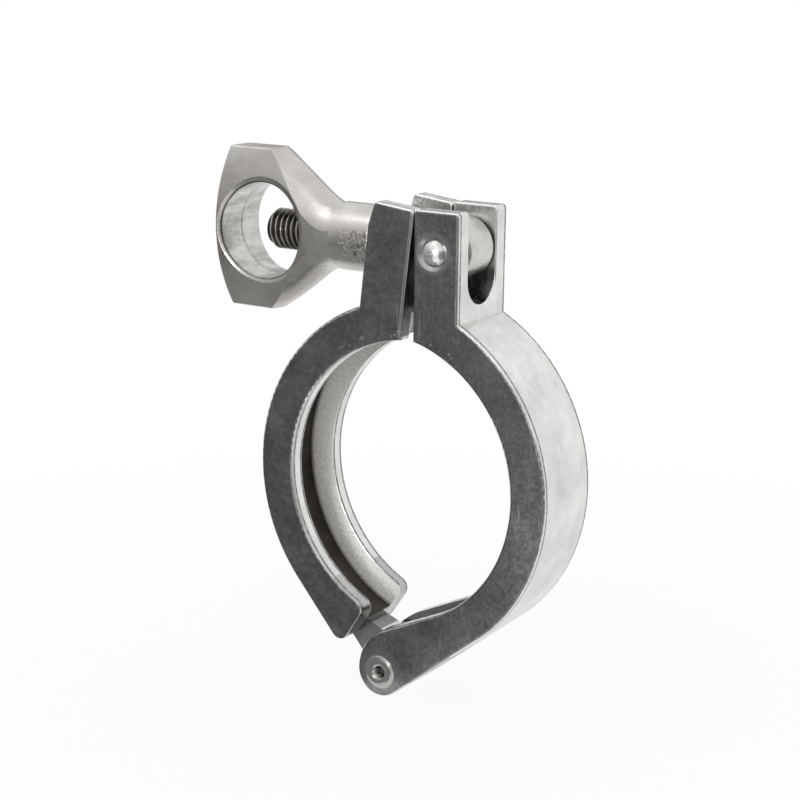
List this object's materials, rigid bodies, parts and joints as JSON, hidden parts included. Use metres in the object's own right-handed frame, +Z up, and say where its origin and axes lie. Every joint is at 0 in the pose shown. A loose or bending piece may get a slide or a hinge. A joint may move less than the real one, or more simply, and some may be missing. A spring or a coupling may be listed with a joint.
{
  "type": "sanitary hinged clamp",
  "caption": "Sanitary pipe clamp: two hinged half rings with a wedge groove, drawn together by a swing bolt and a wing nut.",
  "frame": {"origin": "centre of the fork half's groove, in the middle of the clamp's width", "axes": "+Y along the pipe, towards the rear; +Z up, from the hinge towards the lugs; the wing nut points to -X"},
  "size_m": [0.078, 0.0186, 0.1057],
  "materials": {
    "cast_steel": "cast stainless steel, tumbled satin, with bright rounded edges",
    "turned_steel": "turned stainless steel",
    "polished_steel": "cast stainless steel, polished"
  },
  "bodies": {
    "fork": {"fork_half": "cast_steel", "hinge_pin": "turned_steel", "bolt_pin": "turned_steel"},
    "tongue": {"tongue_half": "cast_steel"},
    "bolt": {"swing_bolt": "turned_steel"},
    "nut": {"wing_nut": "polished_steel"}
  },
  "joints": [
    {"name": "tongue_swing", "type": "hinge", "parent": "fork", "child": "tongue", "pos_m": [0, 0, -0.0399], "axis": [0, -1, 0], "range_deg": [0, 15]},
    {"name": "bolt_swing", "type": "hinge", "parent": "fork", "child": "bolt", "pos_m": [0.01075, 0, 0.0448], "axis": [0, 1, 0], "range_deg": [0, 180]},
    {"name": "nut_travel", "type": "slide", "parent": "bolt", "child": "nut", "axis": [-1, 0, 0], "range_m": [0, 0.0235]}
  ],
  "couplings": [
    {"joint": "nut_travel", "follows": "tongue_swing", "m_per_rad": 0.0871}
  ]
}
